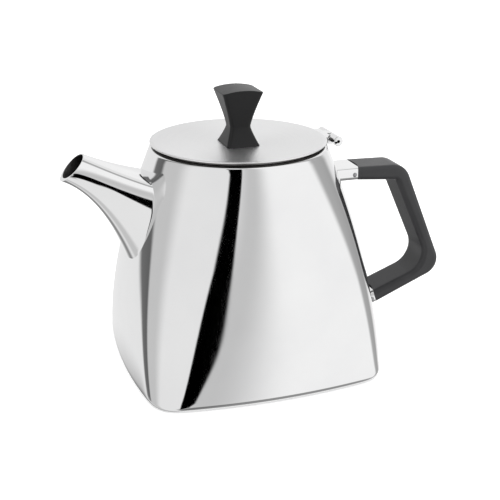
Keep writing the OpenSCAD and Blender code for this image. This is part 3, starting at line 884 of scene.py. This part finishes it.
# The lid's underside gets painted shade
paint_shade_inside(lid_disc, INNER_PAINTED_SHADE, lambda p, n: n.z < -0.5)
knob = make_piece("lid_knob", *knob_skin(), KNOB_PLASTIC, "lid", "handle_plastic", ["knob"], sharp=30)
bevel(knob, 0.9, segments=4)

# The lid skirt gets the painted-shade steel; the other parts get their own finishes
for node, material in (
    ("lid_skirt", INNER_PAINTED_SHADE), ("knob_insert", BRASS), ("knob_washer", STEEL), ("knob_screw", STEEL),
):
    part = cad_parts[node]
    part.data.materials.clear()
    part.data.materials.append(material)


# ------------------------------------------------------------------ floor and studio light
def add_floor():
    low, _ = cad_box
    mesh = bpy.data.meshes.new("floor")
    size = 4.0
    corners = [(-size, -size), (size, -size), (size, size), (-size, size)]
    mesh.from_pydata([(x, y, low.z) for x, y in corners], [], [(0, 1, 2, 3)])
    floor = bpy.data.objects.new("floor", mesh)
    scene.collection.objects.link(floor)
    s = Shader("floor_paint")
    s.main.inputs["Base Color"].default_value = (0.93, 0.93, 0.93, 1)
    s.main.inputs["Roughness"].default_value = 0.7
    s.main.inputs["Specular IOR Level"].default_value = 0.0
    s.main.inputs["Emission Color"].default_value = (1, 1, 1, 1)
    s.main.inputs["Emission Strength"].default_value = 0.35
    mesh.materials.append(s.mat)
    floor.visible_glossy = False


# Light of the plain studio walls
WALL_LIGHT = 0.85
# Directions are in degrees from the front, positive towards the handle; heights are degrees above the horizon


def add_studio():
    """Plain walls with soft boxes and gaps, each a patch of the room that the steel mirrors."""
    world = bpy.data.worlds.new("studio")
    scene.world = world
    world.use_nodes = True
    tree = world.node_tree
    ground = tree.nodes["Background"]

    def node(kind, **settings):
        n = tree.nodes.new(kind)
        for key, value in settings.items():
            setattr(n, key, value)
        return n

    def calc(operation, *values):
        n = node("ShaderNodeMath", operation=operation)
        for i, v in enumerate(values):
            if isinstance(v, (int, float)):
                n.inputs[i].default_value = v
            else:
                tree.links.new(v, n.inputs[i])
        return n.outputs[0]

    def ramp_up(value, middle, soft):
        """0 below the middle value and 1 above it, with a soft step between."""
        n = node("ShaderNodeMapRange", interpolation_type="SMOOTHSTEP")
        ends = (calc("SUBTRACT", middle, soft), calc("ADD", middle, soft))
        for key, v in (("Value", value), ("From Min", ends[0]), ("From Max", ends[1])):
            tree.links.new(v, n.inputs[key])
        return n.outputs["Result"]

    split = node("ShaderNodeSeparateXYZ")
    tree.links.new(node("ShaderNodeTexCoord").outputs["Generated"], split.inputs[0])
    x, y, z = split.outputs
    turn = calc("MULTIPLY", calc("ARCTAN2", x, calc("MULTIPLY", y, -1.0)), 180 / math.pi)
    rise = calc("MULTIPLY", calc("ARCSINE", z), 180 / math.pi)

    def patch(light, share, middle, half, soft, low=-95, high=95):
        """Scales the light within half a width of a direction, between two heights."""
        away = calc("ABSOLUTE", calc("WRAP", calc("SUBTRACT", turn, middle), 180.0, -180.0))
        across = calc("SUBTRACT", 1.0, ramp_up(away, half, soft))
        upward = calc("MULTIPLY", ramp_up(rise, low, 4), calc("SUBTRACT", 1.0, ramp_up(rise, high, 4)))
        change = calc("MULTIPLY", calc("MULTIPLY", across, upward), share - 1)
        return calc("MULTIPLY", light, calc("ADD", 1.0, change))

    # Large soft boxes: one on the right and a smaller one behind it
    light = patch(WALL_LIGHT, 1.15, 60, 45, 14)
    light = patch(light, 1.15, 145, 15, 8)
    # Walls that get less light: straight behind the camera and on the far left
    light = patch(light, 0.7, 0, 12, 10)
    light = patch(light, 0.7, -110, 20, 12)
    # A grey gap between the two soft boxes on the right, leaning forward as it rises
    lean = calc("MULTIPLY", calc("MINIMUM", calc("MAXIMUM", rise, -5.0), 15.0), 0.6)
    light = patch(light, 0.45, calc("SUBTRACT", 105, lean), 12, 5)
    # A dark room corner at the back on the left
    light = patch(light, 0.2, -130, 8, 3, low=-28)
    # The far side of the table and the ceiling behind the pot
    light = patch(light, 0.3, -165, 20, 10, high=-28)
    light = patch(light, 0.2, 180, 30, 8, low=43)
    # The table edge in front of the pot
    light = patch(light, 0.3, 35, 60, 10, high=-40)

    # The dark gap behind the camera leans left as it rises and closes towards the floor and the ceiling
    left = calc("SUBTRACT", -20.0, calc("MULTIPLY", calc("MAXIMUM", calc("SUBTRACT", rise, 10.0), 0.0), 0.4))
    right = calc("SUBTRACT", -5.0, calc("MULTIPLY", rise, 0.4))
    right = calc("SMOOTH_MAX", calc("SMOOTH_MIN", right, 0.0, 4.0), -12.0, 4.0)
    right = calc("SMOOTH_MIN", right, calc("ADD", 16.0, calc("MULTIPLY", rise, 0.7)), 8.0)
    gap = calc("MULTIPLY", ramp_up(turn, left, 1.3), calc("SUBTRACT", 1.0, ramp_up(turn, right, 0.8)))
    gap = calc("MULTIPLY", gap, calc("SUBTRACT", 1.0, ramp_up(rise, 55, 5)))
    level = calc("MULTIPLY", light, calc("SUBTRACT", 1.0, gap))

    # The camera itself sees a plain white room
    seen = node("ShaderNodeLightPath").outputs["Is Camera Ray"]
    pick = calc("ADD", calc("MULTIPLY", level, calc("SUBTRACT", 1.0, seen)), seen)
    tree.links.new(pick, ground.inputs["Color"])


def add_top_light():
    """A broad, even light from above for the floor and the plastic, which the steel doesn't mirror."""
    data = bpy.data.lights.new("top_light", "SUN")
    data.angle, data.energy = math.radians(100), 1.8
    light = bpy.data.objects.new("top_light", data)
    scene.collection.objects.link(light)
    light.rotation_euler = (math.radians(-8), 0, 0)
    light.visible_glossy = False


add_floor()
add_studio()
add_top_light()
scene.view_settings.view_transform = "Standard"
